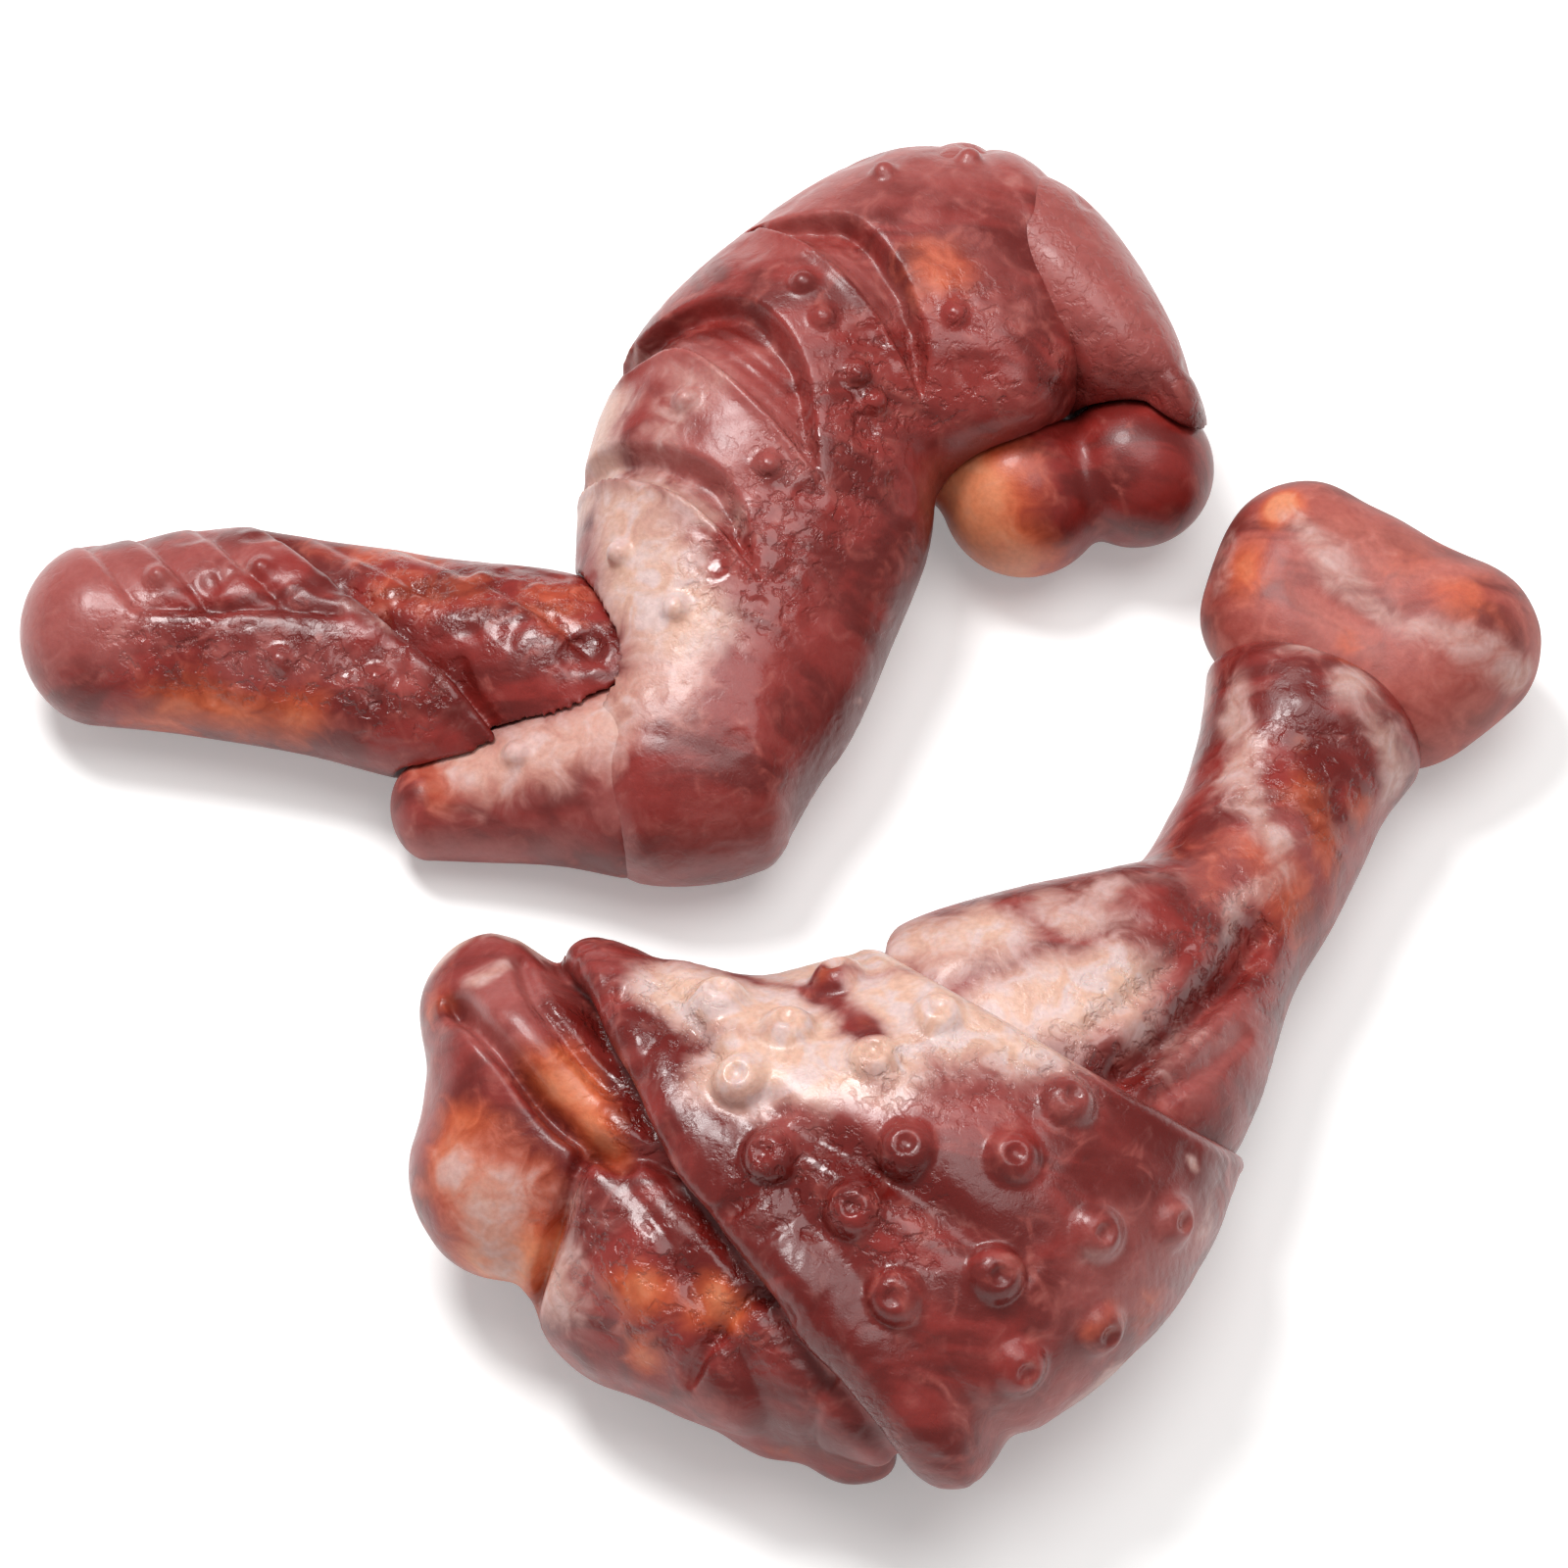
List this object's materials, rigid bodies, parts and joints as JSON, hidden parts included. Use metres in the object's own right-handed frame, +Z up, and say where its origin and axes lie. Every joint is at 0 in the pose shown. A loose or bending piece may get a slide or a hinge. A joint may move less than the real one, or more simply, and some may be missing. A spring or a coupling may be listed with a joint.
{
  "type": "squeaking rubber poultry pieces",
  "caption": "Hollow marbled rubber chicken wing and drumstick, a pair of soft squeaking stage props that bend at the joints.",
  "frame": {"origin": "on the drumstick's flat rest face, under the middle of its thigh", "axes": "+Z up from the floor that both pieces lie on; +X to the right and +Y away, as the pair lies with the wing behind the drumstick"},
  "size_m": [0.1935, 0.1935, 0.046],
  "materials": {
    "skin_rubber": "marbled glossy rubber with raised rings",
    "knee_rubber": "marbled satin rubber",
    "shank_rubber": "marbled glossy rubber, rough meat texture",
    "knuckle_rubber": "satin rubber",
    "wing_rubber": "marbled glossy rubber with carved crescents",
    "wing_tip_rubber": "marbled glossy rubber with folds",
    "knob_rubber": "satin rubber",
    "flap_rubber": "satin rubber",
    "ball_rubber": "smooth satin rubber",
    "squeaker_plastic": "natural moulded plastic",
    "reed_plastic": "natural moulded plastic",
    "reed_film": "thin plastic film"
  },
  "bodies": {
    "drumstick_thigh": {"drumstick_skin": "skin_rubber", "drumstick_knee_plug": "knee_rubber", "drumstick_squeaker_barrel": "squeaker_plastic", "drumstick_squeaker_reed_block": "reed_plastic"},
    "drumstick_leg": {"drumstick_shank": "shank_rubber", "drumstick_knuckle": "knuckle_rubber"},
    "drumstick_reed": {"drumstick_squeaker_reed": "reed_film"},
    "wing_body": {"wing_skin": "wing_rubber", "wing_wrist_knob": "knob_rubber", "wing_shoulder_flap": "flap_rubber", "wing_ball_plug": "ball_rubber", "wing_squeaker_barrel": "squeaker_plastic", "wing_squeaker_reed_block": "reed_plastic"},
    "wing_end": {"wing_tip": "wing_tip_rubber"},
    "wing_reed": {"wing_squeaker_reed": "reed_film"}
  },
  "joints": [
    {"name": "leg_bend", "type": "hinge", "parent": "drumstick_thigh", "child": "drumstick_leg", "pos_m": [0.031, 0.024, 0.0175], "axis": [0, 0, 1], "range_deg": [-8, 4], "stiffness_Nm_per_rad": 2},
    {"name": "wing_lift", "type": "slide", "parent": "drumstick_thigh", "child": "wing_body", "axis": [0, 0, 1], "range_m": [0, 0.12]},
    {"name": "wing_tip_bend", "type": "hinge", "parent": "wing_body", "child": "wing_end", "pos_m": [-0.031, 0.082, 0.0115], "axis": [0, 0, -1], "range_deg": [0, 12], "stiffness_Nm_per_rad": 1},
    {"name": "drumstick_reed_flutter", "type": "hinge", "parent": "drumstick_thigh", "child": "drumstick_reed", "pos_m": [0.0129, 0.0073, 0.0087], "axis": [0, 1, 0], "range_deg": [-3, 3], "stiffness_Nm_per_rad": 0.0002},
    {"name": "wing_reed_flutter", "type": "hinge", "parent": "wing_body", "child": "wing_reed", "pos_m": [-0.0112, 0.1153, 0.0087], "axis": [0, 1, 0], "range_deg": [-3, 3], "stiffness_Nm_per_rad": 0.0002}
  ]
}
